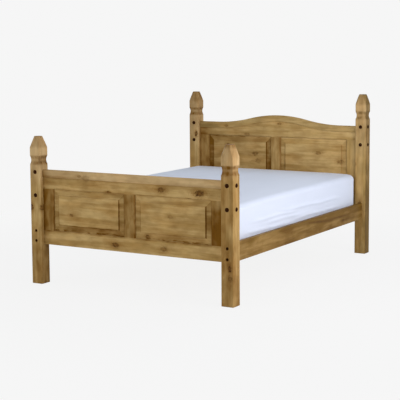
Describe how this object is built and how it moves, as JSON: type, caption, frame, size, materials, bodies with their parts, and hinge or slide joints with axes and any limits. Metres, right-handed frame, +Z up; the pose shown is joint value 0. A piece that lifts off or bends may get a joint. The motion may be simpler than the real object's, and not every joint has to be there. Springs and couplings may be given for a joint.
{
  "type": "bed",
  "caption": "Pine double bed with waisted finial posts, raised-panel headboard and footboard, bolted side rails, slatted base and a mattress that lifts off.",
  "frame": {"origin": "on the floor under the middle of the bed", "axes": "+X to the right seen from the foot, +Y from foot to head, +Z up"},
  "size_m": [1.51, 2.089, 1.17],
  "materials": {
    "pine_post": "waxed knotty pine, grain along the post",
    "pine_rail": "waxed knotty pine, grain along the rail",
    "pine_stile": "darker waxed pine, grain upright",
    "pine_panel": "waxed knotty pine, grain across the panel",
    "pine_base": "unfinished sawn pine",
    "beech_dowel": "plain beech",
    "black_iron": "blackened, hammered",
    "zinc_steel": "zinc plated",
    "white_sheet": "white cotton fitted sheet"
  },
  "bodies": {
    "bed_frame": {"barrel_nuts": "zinc_steel", "bed_bolts": "black_iron", "bolt_washers": "black_iron", "centre_rail": "pine_base", "centre_rail_hanger_foot": "zinc_steel", "centre_rail_hanger_head": "zinc_steel", "foot_bottom_rail": "pine_rail", "foot_cap": "pine_rail", "foot_panel_left": "pine_panel", "foot_panel_right": "pine_panel", "foot_post_left": "pine_post", "foot_post_right": "pine_post", "foot_stile_left": "pine_stile", "foot_stile_middle": "pine_stile", "foot_stile_right": "pine_stile", "foot_top_rail": "pine_rail", "hanger_screws": "zinc_steel", "head_bottom_rail": "pine_rail", "head_crest_cap": "pine_rail", "head_panel_left": "pine_panel", "head_panel_right": "pine_panel", "head_post_left": "pine_post", "head_post_right": "pine_post", "head_stile_left": "pine_stile", "head_stile_middle": "pine_stile", "head_stile_right": "pine_stile", "head_top_rail": "pine_rail", "iron_studs": "black_iron", "ledger_screws": "zinc_steel", "rail_dowels": "beech_dowel", "side_rail_left": "pine_rail", "side_rail_right": "pine_rail", "slat_01": "pine_base", "slat_02": "pine_base", "slat_03": "pine_base", "slat_04": "pine_base", "slat_05": "pine_base", "slat_06": "pine_base", "slat_07": "pine_base", "slat_08": "pine_base", "slat_09": "pine_base", "slat_10": "pine_base", "slat_11": "pine_base", "slat_12": "pine_base", "slat_13": "pine_base", "slat_14": "pine_base", "slat_ledger_left": "pine_base", "slat_ledger_right": "pine_base", "slat_screws": "zinc_steel"},
    "mattress": {"mattress": "white_sheet"}
  },
  "joints": [
    {"name": "mattress_lift", "type": "slide", "parent": "bed_frame", "child": "mattress", "axis": [0, 0, 1], "range_m": [0, 0.85]}
  ]
}
